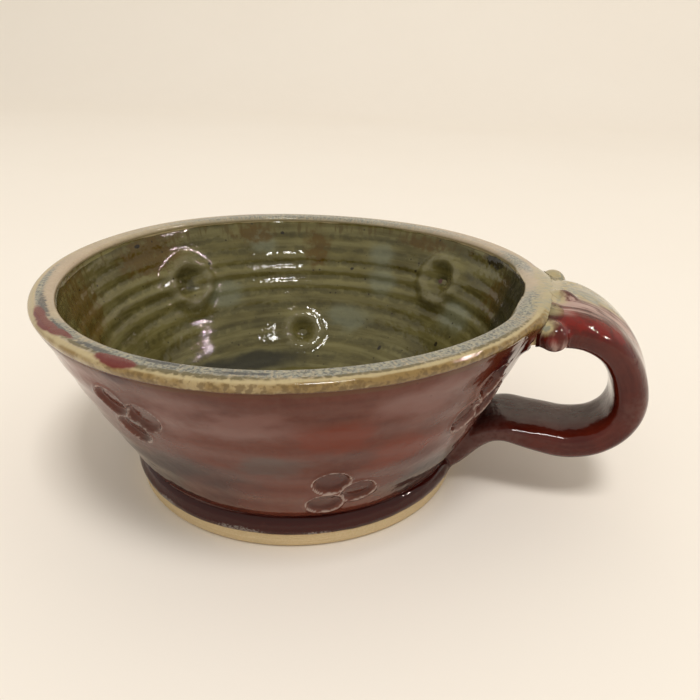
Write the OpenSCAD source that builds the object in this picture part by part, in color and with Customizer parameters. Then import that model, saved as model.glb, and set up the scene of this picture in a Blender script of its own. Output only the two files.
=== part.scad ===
// Glazed stoneware soup mug: a thrown bowl with a pulled strap handle, three
// clay pellets over the handle's upper joint, slip in both joints, and the
// glaze coats that were fired onto them. Sizes are millimetres, +Z is up, the
// origin is the centre of the foot on the table, and the handle points to +X.

/* [Bowl] */
// Outside radius at the widest point of the lip
lip_r = 74.1; // [66:0.1:80]
// Height from the table to the top of the lip
bowl_h = 62.3; // [56:0.1:72]
// Width of the thickened lip, from its outside to its inside
lip_w = 7.0; // [6:0.1:8.5]
// Height over which the wall thickens towards the lip
lip_swell_h = 12; // [8:0.5:18]
// Height of the widest point of the lip below its top
lip_drop = 1.6; // [1.2:0.1:2.4]
// Width of the round on the outside of the lip
lip_round = 2.2; // [1.4:0.1:2.6]
// Radius of the softer round on the inside of the lip
lip_inner_round = 1.3; // [0.9:0.1:1.8]
// Thickness of the thrown wall, glaze included
wall_t = 5.6; // [5:0.1:6.6]
// Radius at the bottom of the groove above the foot
waist_r = 49.2; // [45:0.1:53]
// Height of that groove
waist_h = 9.5; // [8.5:0.1:11]
// Height of the glazed floor inside
floor_h = 10.6; // [9.6:0.1:13]
// Radius of the flat middle of the floor
floor_flat_r = 26; // [18:0.5:32]
// Height at which the floor's curve has become the wall
floor_curve_h = 28; // [24:0.5:34]

/* [Foot] */
// Outside radius of the foot on the table
foot_r = 50.0; // [46:0.1:54]
// Radius of the foot's roll, glaze included
roll_r = 51.0; // [46.5:0.1:55]
// Height of the widest point of the roll
roll_h = 6.6; // [5.6:0.1:7.6]
// Width of the ring that stands on the table
foot_ring_w = 5.8; // [4:0.1:9]
// Depth of the trimmed hollow under the floor
foot_hollow_h = 3.6; // [2:0.1:4.6]
// Bevel on the outside of the standing ring
foot_bevel = 0.7; // [0.3:0.1:1.2]

/* [Glaze] */
// Thickness of the glaze coats
glaze_t = 0.5; // [0.3:0.05:0.8]
// Height of the bare clay band above the table
bare_band_h = 4.4; // [3:0.1:5.4]
// How far the pale rim glaze comes down the outside
rim_coat_h = 2.9; // [2.6:0.1:6]
// How far the rim glaze laps into the inside
rim_lap_h = 2.2; // [2:0.1:4]

/* [Throwing rings] */
// Height between two of the finger rings inside
ring_pitch = 5.2; // [4:0.1:8]
// Depth of the finger rings
ring_depth = 0.35; // [0.1:0.05:0.5]

/* [Stamps] */
// Radius of each of the three round presses of a stamp
press_r = 4.9; // [3.6:0.1:5.2]
// Distance from the middle of a stamp to each press
press_offset = 5.8; // [4.6:0.1:7]
// Depth of a press below the glazed wall
press_depth = 1.1; // [0.6:0.1:1.4]
// Depth of the middle of a high stamp below the top of the lip
stamp_high_drop = 17.8; // [16.5:0.1:21]
// Height of the middle of a low stamp above the groove
stamp_low_rise = 12; // [11.2:0.1:16]
// Radius of the fingertip that backed each stamp inside
fingertip_r = 7.0; // [5:0.1:8]
// Depth of the fingertip's dimple
fingertip_depth = 1.2; // [0.5:0.1:1.4]

/* [Handle] */
// How far the outside of the handle stands out from the lip
handle_stand = 29.5; // [26:0.1:33]
// Thickness of the strap, glaze included
strap_t = 9.9; // [8.4:0.1:11]
// Width of the strap at the lip, glaze included
strap_top_w = 42; // [36:0.5:46]
// How far the top of the strap lies below the top of the lip
strap_sink = 0.45; // [0.25:0.05:1.5]
// Height of the middle of the strap's lower limb above the groove
strap_low_rise = 9.8; // [9:0.1:12]
// How far the tip of the tail reaches below the widest point of the roll
tail_overlap = 2; // [1.6:0.1:2.2]

/* [Pellets] */
// Radius of the two clay balls beside the strap, glaze included
ball_r = 4.4; // [3.6:0.1:5]
// Radius of the flattened pellet between them, glaze included
middle_pellet_r = 5.0; // [4.2:0.1:5.6]

/* [Hidden] */
// Every piece of the mug, in the order in which it is made
// Room that a cutting shape takes past the shape it cuts
overrun = 1;
// How far a coat's blank reaches into the clay before the clay is cut from it
coat_root = wall_t / 2;
// How steeply the radius grows with height near the groove
wall_curve_share = 0.88;
// Half the height over which the wall's lean is taken
slope_step = 0.5;
// Steps along the wall, a round, the floor's curve and a pellet
wall_steps = 22;
round_steps = 5;
curve_steps = 8;
ball_steps = 18;
// Angles of the stamps from the handle, and how far each one is turned
stamp_angles = [52, 105, 148, 202, 251, 297, 333];
stamp_turns = [0, 20, -10, 5, 15, -5, 0];
// Where the strap's middle line runs: share of the way out from the wall to the
// outside of the handle, and share of the way up from the lower limb to the top.
// Below the lower limb it is the share of the way down to the tip of the tail.
spine_shares = [
    [-0.20, 0.995], [0.055, 1.010], [0.335, 1.005], [0.57, 0.945], [0.747, 0.850],
    [0.871, 0.730], [0.952, 0.590], [1.00, 0.415], [0.98, 0.270], [0.915, 0.145],
    [0.80, 0.045], [0.64, 0.000], [0.476, 0.015], [0.346, 0.035], [0.229, 0.055],
    [0.135, 0.030], [0.061, -0.153], [0.027, -0.435], [0.024, -0.730], [-0.045, -1.000]
];
// Width of the strap there, as a share of its width at the lip
strap_w_shares = [
    1.04, 0.99, 0.90, 0.81, 0.72, 0.63, 0.56, 0.51, 0.485, 0.49, 0.51, 0.53,
    0.54, 0.55, 0.56, 0.54, 0.50, 0.46, 0.40, 0.30
];
// Thickness of the strap there, as a share of its thickness
strap_t_shares = [
    1, 1, 1, 0.98, 0.98, 1, 1.02, 1.02, 1.02, 1, 1, 1,
    0.95, 0.83, 0.74, 0.74, 0.88, 0.96, 0.80, 0.34
];
// Squareness of the strap's section: a circle or an ellipse is two
strap_power_share = 2.7;
// Rings between two points of the strap's middle line, and points on a ring
spine_steps = 3;
ring_points = 20;
// Places of the pellets in their own radii: out from the lip, in from the edge of
// the strap or off its middle line, and down from the top of the lip
ball_out_share = 0.135;
ball_inset_share = 0.38;
front_ball_drop_share = 1.25;
rear_ball_drop_share = 0.85;
middle_out_share = 0.52;
middle_side_share = -0.25;
middle_drop_share = 0.78;
// Middle line of the strap at its top, in its lower limb and at its outermost
strap_top_h = bowl_h - strap_sink - strap_t / 2;
strap_low_h = waist_h + strap_low_rise;
spine_reach = lip_r + handle_stand - strap_t / 2;
tail_tip_h = roll_h - tail_overlap;
// Height that parts the upper joint from the lower one
joint_split_h = (strap_top_h + strap_low_h) / 2;
clay_foot_r = roll_r - glaze_t;
rim_line_h = bowl_h - rim_coat_h;
lap_line_h = bowl_h - rim_lap_h;
lip_side_h = bowl_h - lip_drop;

// Radius of the glazed wall at height h, between the groove and the lip's side
function wall_r(h) =
    waist_r + (lip_r - waist_r) * pow(max(0, h - waist_h) / (lip_side_h - waist_h), wall_curve_share);
// How much the wall's radius grows for each unit of height there
function wall_lean(h) = (wall_r(h + slope_step) - wall_r(h - slope_step)) / (2 * slope_step);
// Share of the lip's thickening at height h: none below the swell, all at the top
function swell(h) = max(0, (h - bowl_h + lip_swell_h) / lip_swell_h);
function wall_thickness(h) = wall_t + (lip_w - wall_t) * pow(swell(h), 2);
// Strength of the finger rings at height h: nothing at both ends of their stretch
function ring_share(h) =
    pow(sin(180 * min(1, max(0, (h - floor_curve_h) / (bowl_h - lip_swell_h / 2 - floor_curve_h)))), 2);
function ring_wave(h) = ring_depth * ring_share(h) * cos(360 * h / ring_pitch);
// Radius of the glazed inside at height h, above the floor's curve
function inner_r(h) = wall_r(h) - wall_thickness(h) + ring_wave(h);

// Radius of the clay at height h, between the foot's bevel and its roll
function foot_side_r(h) = foot_r + (clay_foot_r - foot_r) * (h - foot_bevel) / (roll_h - foot_bevel);

// Outside of the mug from the foot's roll to the inside of the lip. The inset
// is nothing for the glazed surface, and the glaze's thickness for the clay.
function roll_points(inset) = [
    for (i = [0:round_steps])
        let (a = 90 * i / round_steps)
        [waist_r + (roll_r - waist_r) * cos(a) - inset, roll_h + (waist_h - roll_h) * sin(a)]
];
function wall_points(inset) = [
    for (i = [1:wall_steps])
        let (h = waist_h + (lip_side_h - waist_h) * pow(i / wall_steps, 1 / wall_curve_share))
        [wall_r(h) - inset, h]
];
function lip_points(inset) = concat(
    [
        for (i = [1:round_steps])
            let (a = 90 * i / round_steps)
            [
                lip_r - lip_round + (lip_round - inset) * cos(a),
                lip_side_h + (lip_drop - inset) * sin(a)
            ]
    ],
    [
        for (i = [0:round_steps])
            let (a = 90 + 90 * i / round_steps)
            [
                lip_r - lip_w + lip_inner_round + (lip_inner_round - inset) * cos(a),
                bowl_h - lip_inner_round + (lip_inner_round - inset) * sin(a)
            ]
    ]
);
// Inside of the mug from just under the lip down to the middle of the floor
function inner_wall_points(inset) = [
    for (i = [1:3 * wall_steps])
        let (top = bowl_h - lip_inner_round, h = top - (top - floor_curve_h) * i / (3 * wall_steps))
        [inner_r(h) + inset, h]
];
function floor_points(inset) =
    let (
        edge_r = inner_r(floor_curve_h),
        corner_r = edge_r - wall_lean(floor_curve_h) * (floor_curve_h - floor_h)
    )
    [
        for (i = [1:curve_steps])
            let (u = i / curve_steps, v = 1 - u)
            [
                v * v * (edge_r + inset) + 2 * u * v * (corner_r + inset) + u * u * floor_flat_r,
                v * v * floor_curve_h + 2 * u * v * (floor_h - inset) + u * u * (floor_h - inset)
            ]
    ];

// Everything inside the outer surface, as if the bowl were full to its brim
module full_bowl(inset) {
    foot_points = [[0, 0], [foot_r - foot_bevel, 0], [foot_r, foot_bevel]];
    rotate_extrude()
        polygon(concat(
            foot_points, roll_points(inset), wall_points(inset),
            [for (p = lip_points(inset)) if (p[0] > lip_r - lip_round - overrun) p],
            [[0, bowl_h - inset]]
        ));
}

// The space inside the bowl, open at the top
module bowl_space(inset) {
    rotate_extrude()
        polygon(concat(
            [[0, bowl_h + overrun], [lip_r - lip_w + lip_inner_round, bowl_h + overrun]],
            [for (p = lip_points(inset)) if (p[0] < lip_r - lip_w + lip_inner_round) p],
            inner_wall_points(inset), floor_points(inset), [[0, floor_h - inset]]
        ));
}

// Stamps stand high and low in turn
function stamp_h(i) = i % 2 == 0 ? bowl_h - stamp_high_drop : waist_h + stamp_low_rise;
// A frame on the glazed wall, with Z square out of the wall
module on_wall(angle, h) {
    rotate([0, 0, angle])
        translate([wall_r(h), 0, h])
            rotate([0, 90 + atan(wall_lean(h)), 0])
                children();
}

// The three round presses of every stamp, each square to its own place on the wall
module presses(inset) {
    for (i = [0:len(stamp_angles) - 1])
        for (turn = [0:120:240])
            let (
                side = press_offset * cos(turn + stamp_turns[i]),
                h = stamp_h(i) + press_offset * sin(turn + stamp_turns[i]),
                angle = stamp_angles[i] + side / wall_r(h) * 180 / PI
            )
            on_wall(angle, h)
                translate([0, 0, -press_depth - inset])
                    cylinder(r = press_r + inset, h = coat_root + press_depth, $fn = 48);
}

// The fingertip that pushed back from inside at every stamp
module fingertips(inset) {
    for (i = [0:len(stamp_angles) - 1])
        let (h = stamp_h(i), across = wall_thickness(h) * cos(atan(wall_lean(h))))
        on_wall(stamp_angles[i], h)
            translate([0, 0, -across - fingertip_r + fingertip_depth])
                sphere(r = fingertip_r + inset, $fn = 48);
}

// Catmull-Rom curve through a list of values
function blend(list, k, u) =
    let (
        last = len(list) - 1,
        a = list[max(0, k - 1)],
        b = list[k],
        c = list[min(last, k + 1)],
        d = list[min(last, k + 2)]
    )
    (2 * b + (c - a) * u + (2 * a - 5 * b + 4 * c - d) * u * u + (3 * b - a - 3 * c + d) * u * u * u) / 2;
function along(list, i) =
    let (k = min(len(list) - 2, floor(i / spine_steps)))
    blend(list, k, i / spine_steps - k);
// Middle line of the strap as radius and height, at one of its shares and at ring i
function spine_place(s) =
    let (
        h = strap_low_h + s[1] * (s[1] < 0 ? strap_low_h - tail_tip_h : strap_top_h - strap_low_h),
        wall = h < roll_h ? foot_side_r(h) : wall_r(min(h, lip_side_h))
    )
    [wall + s[0] * (spine_reach - wall), h];
spine_places = [for (s = spine_shares) spine_place(s)];
function spine_point(i) = along(spine_places, i);
function unit(v) = v / norm(v);
// A superellipse's half size in the direction of an angle's cosine or sine
function squared(c) = sign(c) * pow(abs(c), 2 / strap_power_share);

// The strap, swept along its middle line, inset from its glazed surface
module strap(inset) {
    last = spine_steps * (len(spine_shares) - 1);
    points = [
        for (i = [0:last])
            let (
                middle = spine_point(i),
                ahead = unit(spine_point(min(last, i + 1)) - spine_point(max(0, i - 1))),
                half_t = strap_t * along(strap_t_shares, i) / 2 - inset,
                half_w = strap_top_w * along(strap_w_shares, i) / 2 - inset
            )
            for (j = [0:ring_points - 1])
                let (
                    a = 360 * j / ring_points,
                    out = half_t * squared(cos(a))
                )
                [
                    middle[0] - ahead[1] * out,
                    half_w * squared(sin(a)),
                    middle[1] + ahead[0] * out
                ]
    ];
    sides = [
        for (i = [0:last - 1])
            for (j = [0:ring_points - 1])
                let (
                    a = i * ring_points + j,
                    b = i * ring_points + (j + 1) % ring_points,
                    c = b + ring_points,
                    d = a + ring_points
                )
                each [[a, b, c], [a, c, d]]
    ];
    ends = [
        [for (j = [0:ring_points - 1]) ring_points - 1 - j],
        [for (j = [0:ring_points - 1]) last * ring_points + j]
    ];
    polyhedron(points = points, faces = concat(sides, ends), convexity = 6);
}

// The pellets as rolled balls, inset from their glazed surfaces
module rolled_ball(r) {
    rotate_extrude($fn = 96)
        polygon([
            for (i = [0:ball_steps])
                let (a = 180 * i / ball_steps - 90)
                [r * cos(a), r * sin(a)]
        ]);
}
module ball(side, drop_share, inset) {
    translate([
        lip_r + ball_r * ball_out_share,
        side * (strap_top_w / 2 - ball_r * ball_inset_share),
        bowl_h - ball_r * drop_share
    ])
        rolled_ball(ball_r - inset);
}
module middle_ball(inset) {
    translate([
        lip_r + middle_pellet_r * middle_out_share,
        middle_pellet_r * middle_side_share,
        bowl_h - middle_pellet_r * middle_drop_share
    ])
        rolled_ball(middle_pellet_r - inset);
}
module all_balls(inset) {
    ball(-1, front_ball_drop_share, inset);
    middle_ball(inset);
    ball(1, rear_ball_drop_share, inset);
}

// The bowl's clay, as thrown, trimmed and stamped
module thrown_bowl() {
    color("#B89B72")
        difference() {
            full_bowl(glaze_t);
            bowl_space(glaze_t);
            translate([0, 0, -overrun])
                cylinder(r = foot_r - foot_ring_w, h = foot_hollow_h + overrun, $fn = 96);
            presses(glaze_t);
            fingertips(glaze_t);
        }
}

// Slip that fills each scored joint, as thick as the glaze beside it
module slip_joint(bottom, top) {
    color("#A98D68")
        intersection() {
            difference() {
                full_bowl(0);
                full_bowl(glaze_t);
            }
            strap(glaze_t);
            translate([0, -strap_top_w, bottom])
                cube([lip_r + handle_stand, 2 * strap_top_w, top - bottom]);
        }
}
module upper_slip_joint() {
    slip_joint(joint_split_h, bowl_h + overrun);
}
module lower_slip_joint() {
    slip_joint(bare_band_h, joint_split_h);
}

// The clay strap, seated on the slip
module pulled_handle() {
    color("#B08F66")
        difference() {
            strap(glaze_t);
            full_bowl(0);
        }
}

// A clay ball is pressed against the strap and the lip
module pellet_seat() {
    strap(glaze_t);
    full_bowl(glaze_t);
}
module front_pellet() {
    color("#B5946A")
        difference() {
            ball(-1, front_ball_drop_share, glaze_t);
            pellet_seat();
        }
}
module middle_pellet() {
    color("#B5946A")
        difference() {
            middle_ball(glaze_t);
            pellet_seat();
        }
}
module rear_pellet() {
    color("#B5946A")
        difference() {
            ball(1, rear_ball_drop_share, glaze_t);
            pellet_seat();
        }
}

// What stands on the bowl, with its glaze, where the bowl's own coats stop.
// It ends on top of the lip, short of the round on the lip's inside.
module attachments() {
    difference() {
        union() {
            strap(0);
            all_balls(0);
        }
        translate([0, 0, bowl_h - lip_inner_round])
            cylinder(r = lip_r - lip_w + lip_inner_round, h = lip_inner_round + overrun, $fn = 96);
    }
}

// Green liner inside, from the middle of the floor up to the rim glaze
function lining(inset) =
    [for (p = concat(inner_wall_points(inset), floor_points(inset))) if (p[1] < lap_line_h) p];
module liner_glaze() {
    backing = lining(coat_root);
    color("#6E7355")
        difference() {
            rotate_extrude()
                polygon(concat(
                    [[inner_r(lap_line_h) + coat_root, lap_line_h], [inner_r(lap_line_h), lap_line_h]],
                    lining(0), [[0, floor_h], [0, floor_h - coat_root]],
                    [for (i = [len(backing) - 1:-1:0]) backing[i]]
                ));
            thrown_bowl();
            fingertips(0);
        }
}

// Oxblood coat outside, from the bare band up to the rim glaze
module outside_glaze() {
    line_r = foot_side_r(bare_band_h);
    outline = concat(roll_points(0), [for (p = wall_points(0)) if (p[1] < rim_line_h) p]);
    backing = [for (p = wall_points(coat_root)) if (p[1] < rim_line_h) p];
    color("#6E2A24")
        difference() {
            rotate_extrude()
                polygon(concat(
                    [[line_r - coat_root, bare_band_h], [line_r + glaze_t, bare_band_h]],
                    outline,
                    [[wall_r(rim_line_h), rim_line_h], [wall_r(rim_line_h) - coat_root, rim_line_h]],
                    [for (i = [len(backing) - 1:-1:0]) backing[i]]
                ));
            thrown_bowl();
            presses(0);
            attachments();
        }
}

// Pale coat over the lip, from the oxblood outside to the green inside
module rim_glaze() {
    outside = [for (p = wall_points(0)) if (p[1] > rim_line_h) p];
    inside = [for (p = lip_points(0)) if (p[0] > lip_r - lip_w || p[1] > lap_line_h) p];
    core_r = lip_r - lip_w / 2;
    color("#C9BD95")
        difference() {
            rotate_extrude()
                polygon(concat(
                    [[core_r, rim_line_h], [wall_r(rim_line_h), rim_line_h]],
                    outside, inside,
                    [[inner_r(lap_line_h), lap_line_h], [core_r, lap_line_h]]
                ));
            thrown_bowl();
            attachments();
        }
}

// Coat over the strap and the pellets, down to the clay of the bowl
module handle_glaze() {
    color("#8A3B33")
        difference() {
            attachments();
            strap(glaze_t);
            all_balls(glaze_t);
            full_bowl(glaze_t);
        }
}

thrown_bowl();
upper_slip_joint();
lower_slip_joint();
pulled_handle();
front_pellet();
middle_pellet();
rear_pellet();
liner_glaze();
outside_glaze();
rim_glaze();
handle_glaze();
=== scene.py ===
# Soup mug in glazed stoneware, dressed over its CAD model: the thrown bowl, the
# pulled handle with three pellets, and the glaze coats. Sizes in the sections are
# millimetres; the mesh maker turns them to metres.
import math

import bpy
import numpy as np
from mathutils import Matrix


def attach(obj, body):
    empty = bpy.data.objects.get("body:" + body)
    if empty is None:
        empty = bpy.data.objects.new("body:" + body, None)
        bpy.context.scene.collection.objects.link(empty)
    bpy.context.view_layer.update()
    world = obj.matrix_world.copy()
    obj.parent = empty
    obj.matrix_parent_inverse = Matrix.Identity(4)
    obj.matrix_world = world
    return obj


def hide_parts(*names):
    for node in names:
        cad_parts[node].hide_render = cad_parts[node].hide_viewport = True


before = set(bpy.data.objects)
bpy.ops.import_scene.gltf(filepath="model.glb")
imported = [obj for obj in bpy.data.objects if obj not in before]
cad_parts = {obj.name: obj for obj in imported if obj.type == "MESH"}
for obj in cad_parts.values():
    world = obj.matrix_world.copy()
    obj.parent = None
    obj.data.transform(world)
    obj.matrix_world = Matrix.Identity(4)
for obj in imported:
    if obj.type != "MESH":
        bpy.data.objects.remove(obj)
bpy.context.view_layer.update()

# ---------------------------------------------------------------------------
# Table, lights and camera. The mug stands on a pale matt sheet that curves up
# behind it, and is seen from the front and above. One wide soft lamp lights it;
# a tube and three small lamps are only mirrored in its glaze.
# ---------------------------------------------------------------------------


def linear(code):
    """sRGB hex to linear light: ((c + 0.055) / 1.055) to the power 2.4, or c / 12.92 where it is dark."""
    c = np.array([int(code[i:i + 2], 16) for i in (1, 3, 5)]) / 255
    light = np.where(c <= 0.04045, c / 12.92, ((c + 0.055) / 1.055) ** 2.4)
    return (*light.tolist(), 1.0)


def put(tree, kind, inputs, **settings):
    """Adds one node: its settings, then each input's value, hex colour or the socket that feeds it."""
    node = tree.nodes.new(kind)
    for name, value in settings.items():
        setattr(node, name, value)
    for key, value in inputs.items():
        if isinstance(value, bpy.types.NodeSocket):
            tree.links.new(value, node.inputs[key])
        else:
            node.inputs[key].default_value = linear(value) if isinstance(value, str) else value
    return node


def new_material(name):
    """A material that has no nodes yet, and its tree to fill."""
    material = bpy.data.materials.new(name)
    material.use_nodes = True
    material.node_tree.nodes.clear()
    return material, material.node_tree


# Metres: the sheet's width, where it starts and bends up, the bend's radius, its top, and its gap to the foot
sheet_w, sheet_front, sheet_back, sheet_curve, sheet_top, under_foot = 3.2, -1.4, 0.9, 0.55, 1.7, 0.0001
bend = np.linspace(0, math.pi / 2, 24)
path = np.concatenate([
    [[sheet_front, 0]],
    np.stack([sheet_back + sheet_curve * np.sin(bend), sheet_curve * (1 - np.cos(bend))], 1),
    [[sheet_back + sheet_curve, sheet_top]],
]) - [0, under_foot]
table = bpy.data.meshes.new("table_sheet")
across = np.array([-sheet_w / 2, sheet_w / 2])
corners = np.stack([
    np.repeat(across[None, :], len(path), 0), np.repeat(path[:, [0]], 2, 1), np.repeat(path[:, [1]], 2, 1),
], -1).reshape(-1, 3)
table.from_pydata(corners.tolist(), [], [(2 * k, 2 * k + 1, 2 * k + 3, 2 * k + 2) for k in range(len(path) - 1)])
table.polygons.foreach_set("use_smooth", np.ones(len(table.polygons), bool))
table_sheet = bpy.data.objects.new("table_sheet", table)
bpy.context.scene.collection.objects.link(table_sheet)

# Matt card: a faint mottle, the plain cream of the photograph's table
card, tree = new_material("matt_cream_card")
place = put(tree, "ShaderNodeTexCoord", {}).outputs["Object"]
mottle = put(tree, "ShaderNodeTexNoise", {"Vector": place, "Scale": 5.0, "Detail": 3.0}).outputs["Fac"]
tone = put(tree, "ShaderNodeMix", {0: mottle, 6: "#f3ebe0", 7: "#f6efe5"}, data_type="RGBA").outputs[2]
matt = put(tree, "ShaderNodeBsdfDiffuse", {"Color": tone})
put(tree, "ShaderNodeOutputMaterial", {"Surface": matt.outputs[0]})
table.materials.append(card)

world = bpy.data.worlds.new("studio")
world.use_nodes = True
world.node_tree.nodes.clear()
sky = put(world.node_tree, "ShaderNodeBackground", {"Color": "#fffaf0", "Strength": 0.67})
put(world.node_tree, "ShaderNodeOutputWorld", {"Surface": sky.outputs[0]})
bpy.context.scene.world = world

for name, size, power, place, colour, mirrored in (
    ("key_lamp", (0.55, 0.55), 20.5, (0.44, -0.69, 1.94), "#fffdfb", False),
    ("tube_lamp", (0.40, 0.06), 9.0, (0.48, -0.71, 1.47), "#fffdf8", True),
    ("small_lamp_right", (0.03, 0.03), 2.0, (0.94, 0.25, 0.86), "#ffe9e0", True),
    ("small_lamp_back", (0.025, 0.025), 1.2, (0.80, 0.42, 0.92), "#ffe9e0", True),
    ("small_lamp_low", (0.04, 0.04), 3.0, (1.15, 0.06, 0.60), "#ffe9e0", True),
):
    lamp = bpy.data.lights.new(name, "AREA")
    lamp.shape = "RECTANGLE"
    lamp.size, lamp.size_y = size
    lamp.energy = power
    lamp.color = linear(colour)[:3]
    holder = bpy.data.objects.new(name, lamp)
    bpy.context.scene.collection.objects.link(holder)
    holder.location = place
    # An area lamp shines along its own -Z, and its width stays level
    down_tilt = math.acos(place[2] / math.dist(place, (0, 0, 0)))
    holder.rotation_euler = (down_tilt, 0, math.atan2(place[1], place[0]) + math.pi / 2)
    # One lamp gives the light and the shadows, the others only their reflections in the glaze
    holder.visible_glossy, holder.visible_diffuse = mirrored, not mirrored

camera = bpy.data.cameras.new("camera")
camera.lens, camera.sensor_width = 36.0, 36.0
camera.clip_start, camera.clip_end = 0.01, 20.0
viewer = bpy.data.objects.new("camera", camera)
bpy.context.scene.collection.objects.link(viewer)
# Where the camera stands, in metres, and how it is turned round the mug, tilted down and rolled, in radians
stand = np.array([0.05872, -0.19157, 0.12823])
turned, down, rolled = math.radians(12.4), 0.4316, 0.0230
ahead = np.array([-math.sin(turned) * math.cos(down), math.cos(turned) * math.cos(down), -math.sin(down)])
right = np.array([math.cos(turned), math.sin(turned), 0])
over = np.cross(right, ahead)
columns = [
    right * math.cos(rolled) + over * math.sin(rolled),
    over * math.cos(rolled) - right * math.sin(rolled),
    -ahead,
    stand,
]
for axis, column in enumerate(columns):
    for row in range(3):
        viewer.matrix_world[row][axis] = float(column[row])
bpy.context.scene.camera = viewer
bpy.context.scene.view_settings.view_transform = "Standard"

# ---------------------------------------------------------------------------
# The bowl: buff stoneware thrown on the wheel, trimmed to a standing ring below
# and stamped while it was soft. Only the foot's band and its hollow stay bare.
# ---------------------------------------------------------------------------
mm = 0.001  # metres in a millimetre
lip_r, bowl_h, lip_w = 74.1, 62.3, 7.0
lip_side_h, lip_drop = 60.7, 1.6  # height of the lip's widest point, and how far it lies below the top
lip_round, lip_inner_round = 2.2, 1.3
wall_t, lip_swell_h = 5.6, 12.0  # the wall thickens over this height to the lip
waist_r, waist_h, wall_power = 49.2, 9.5, 0.88  # the groove above the foot, and the curve of the wall from it
floor_h, floor_flat_r, floor_curve_h = 10.6, 26.0, 28.0
foot_r, roll_r, roll_h, ring_in_r, hollow_h, bevel = 50.0, 51.0, 6.6, 44.2, 3.6, 0.7
glaze_t, band_h = 0.5, 4.4
rim_line_h, lap_line_h = 59.4, 60.1  # where the rim coat ends outside and inside
section_step, section_soft = 0.1, 0.33  # steps along the section, and the width of the bell curve that rounds it
# Throwing rings: height between two and depth, on the wall, on the floor (by radius) and outside
ring_pitch, ring_depth, floor_ring_pitch, floor_ring_depth, outer_pitch, outer_depth = 5.2, 0.24, 6.5, 0.12, 8.7, 0.10
floor_to_wall = 12, 18  # heights between which the floor's rings give way to the wall's
# The thrown rim's wander: waves to the turn, with their cosine and sine parts. They fade out along the handle
radius_waves = [(2, -0.0010, 0.0112), (3, 0.0033, 0.0005)]  # shares of the radius
height_waves = [(1, 0.0365, -0.5694), (2, 0.3212, -0.4453), (3, 0.1168, 0.1387)]
sway_fade = 8  # over about this length past the lip's radius
stamps = [  # angle from the handle, height, turn and size of the three presses, height of the fingertip inside
    (52, 44.5, 0, 1.0, 46.5), (105, 21.5, 20, 1.0, 20.5), (148, 44.5, -10, 1.0, 42.0), (202, 21.5, 5, 1.0, 22.5),
    (251, 44.5, 15, 1.0, 45.5), (297, 21.5, -5, 1.0, 22.5), (333, 42.2, -27, 1.15, 45.5),
]
low_row_h, stamp_reach = 30, 20  # stamps under this height are the low row; columns so many degrees off feel one
press_r, press_offset, press_depth = 4.55, 5.25, 1.1
side_in, side_out = 0.8, 0.35  # a press's side slopes from inside its radius to outside it
pale_line_out, pale_line_w = 0.35, 0.3  # the pale line on its edge, thin glaze with a painted reflection: distance outside the radius, and width
burr_h, burr_out, burr_w = 0.24, 0.55, 0.42  # the clay raised round it
high_knob, low_knob = (7.7, 1.9), (6.2, 1.3)  # radius and height of the ring that a fingertip raised inside
knob_w, dimple_w, dimple_depth = 2.7, 3.1, 2.1
flow_r = 72  # radius of the cylinder on which patterns that run down the wall are laid out


def wall_radius(h):
    """Radius of the glazed wall: the groove's, plus the rest to the lip's times the share of the height between them
    to the wall's power."""
    share = np.clip((h - waist_h) / (lip_side_h - waist_h), 0, None)
    return waist_r + (lip_r - waist_r) * share ** wall_power


def wall_lean(h):
    """How much the wall's radius grows over a millimetre of height, half of it below and half above."""
    return wall_radius(h + 0.5) - wall_radius(h - 0.5)


def wall_thick(h):
    """Thickness of the wall across: even below the swell, and growing with its square to the lip."""
    return wall_t + (lip_w - wall_t) * np.clip((h - bowl_h + lip_swell_h) / lip_swell_h, 0, None) ** 2


def ease(low, high, value):
    """Smooth step: nothing below low, one above high, and 3 t t - 2 t t t between them."""
    t = np.clip((value - low) / (high - low), 0, 1)
    return t * t * (3 - 2 * t)


def round_part(centre, radii, start, stop):
    """Part of an ellipse, from one angle to another in degrees: the centre plus the radii's cosine and sine."""
    a = np.radians(np.linspace(start, stop, 40))
    return np.stack([centre[0] + radii[0] * np.cos(a), centre[1] + radii[1] * np.sin(a)], 1)


def softened(line, step, spread):
    """The line at even steps of its length, each point a mean of its neighbours under a bell curve."""
    run = np.concatenate([[0], np.cumsum(np.hypot(*np.diff(line[:, :2], axis=0).T))])
    at = np.linspace(0, run[-1], int(run[-1] / step) + 1)
    even = np.stack([np.interp(at, run, column) for column in line.T], 1)
    reach = int(4 * spread / step)
    bell = np.exp(-0.5 * (np.arange(-reach, reach + 1) * step / spread) ** 2)
    wide = np.pad(even, ((reach, reach), (0, 0)), "reflect", reflect_type="odd")
    return np.stack([np.convolve(column, bell / bell.sum(), "valid") for column in wide.T], 1)


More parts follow.
